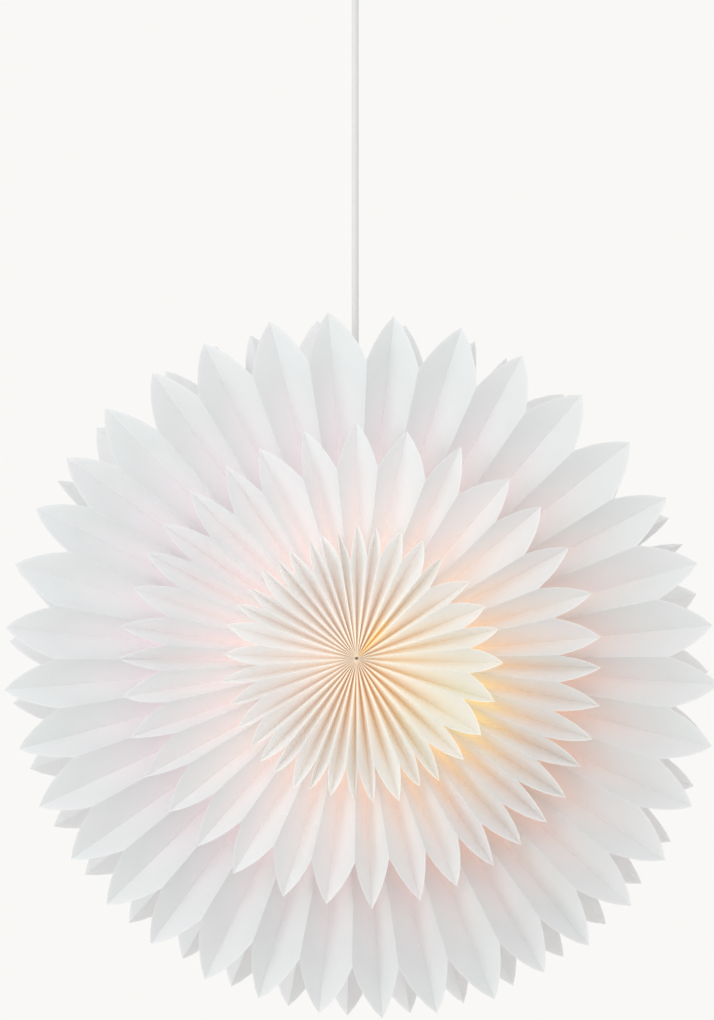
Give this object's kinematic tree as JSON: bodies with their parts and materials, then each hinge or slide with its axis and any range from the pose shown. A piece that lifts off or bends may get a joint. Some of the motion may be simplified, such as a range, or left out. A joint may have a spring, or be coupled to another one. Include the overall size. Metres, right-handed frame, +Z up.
{
  "type": "pleated paper star pendant light",
  "caption": "Round star pendant of fan-pleated white paper rosettes in nested tiers on both sides of a lamp cavity, hung on a cord below a ceiling cup.",
  "frame": {"origin": "on the ceiling plane, midway between the mounting bracket's two slots and on the cord's axis", "axes": "+Z up into the ceiling; the star's front faces -Y; the bracket's slots lie along X"},
  "size_m": [0.5993, 0.246, 0.95],
  "materials": {
    "star_paper": "matte",
    "hub_card": "matte",
    "white_plastic": "satin",
    "cord_sheath": "satin",
    "steel": "satin",
    "white_metal": "satin",
    "brass": "satin",
    "core_insulation": "satin",
    "opal_bulb": "satin",
    "ceramic": "satin",
    "aluminium": "satin"
  },
  "bodies": {
    "ceiling_plate": {"mounting_bracket": "steel", "ceiling_clamp_bar": "white_plastic", "ceiling_clamp_body": "white_plastic", "ceiling_clamp_screws": "steel", "terminal_block": "white_plastic", "terminal_screws": "steel", "terminal_block_screw": "steel", "ceiling_leads": "core_insulation", "ceiling_cord": "cord_sheath"},
    "cup": {"ceiling_cup": "white_plastic", "cup_collar": "white_plastic", "cup_collar_nut": "white_plastic", "cup_grub_screw": "steel"},
    "cord": {"hanging_cord": "cord_sheath"},
    "bulb": {"bulb_globe": "opal_bulb", "bulb_housing": "white_plastic", "bulb_screw_cap": "aluminium", "bulb_tip": "brass"},
    "star": {"front_large_rosette": "star_paper", "front_medium_rosette": "star_paper", "front_small_rosette": "star_paper", "rear_large_rosette": "star_paper", "rear_medium_rosette": "star_paper", "rear_small_rosette": "star_paper", "front_large_card": "hub_card", "front_medium_card": "hub_card", "front_small_card": "hub_card", "rear_large_card": "hub_card", "rear_medium_card": "hub_card", "rear_small_card": "hub_card", "front_spacer": "white_plastic", "rear_spacer": "white_plastic", "hub_sleeves": "white_plastic", "cord_clamp_front": "white_plastic", "cord_clamp_rear": "white_plastic", "lampholder_cap": "white_plastic", "lampholder_skirt": "white_plastic", "inner_cord": "cord_sheath", "hub_washers": "steel", "hub_nuts": "steel", "hub_rod": "steel", "arm_rivets": "steel", "cord_clamp_screws": "steel", "lampholder_terminal_screws": "steel", "threaded_nipple": "steel", "nipple_nut": "steel", "hanger_strap": "white_metal", "lamp_arm": "white_metal", "screw_shell": "brass", "centre_contact": "brass", "lampholder_leads": "core_insulation", "lampholder_core": "ceramic"}
  },
  "joints": [
    {"name": "cup_slide", "type": "slide", "parent": "ceiling_plate", "child": "cup", "axis": [0, 0, -1], "range_m": [0, 0.12]},
    {"name": "star_turn", "type": "hinge", "parent": "ceiling_plate", "child": "cord", "pos_m": [0, 0, -0.066], "axis": [0, 0, 1], "range_deg": [-180, 180]},
    {"name": "star_swing", "type": "hinge", "parent": "cord", "child": "star", "pos_m": [0, 0, -0.403], "axis": [1, 0, 0], "range_deg": [-15, 15]},
    {"name": "bulb_unscrew", "type": "slide", "parent": "star", "child": "bulb", "axis": [0, 0, -1], "range_m": [0, 0.03]}
  ]
}
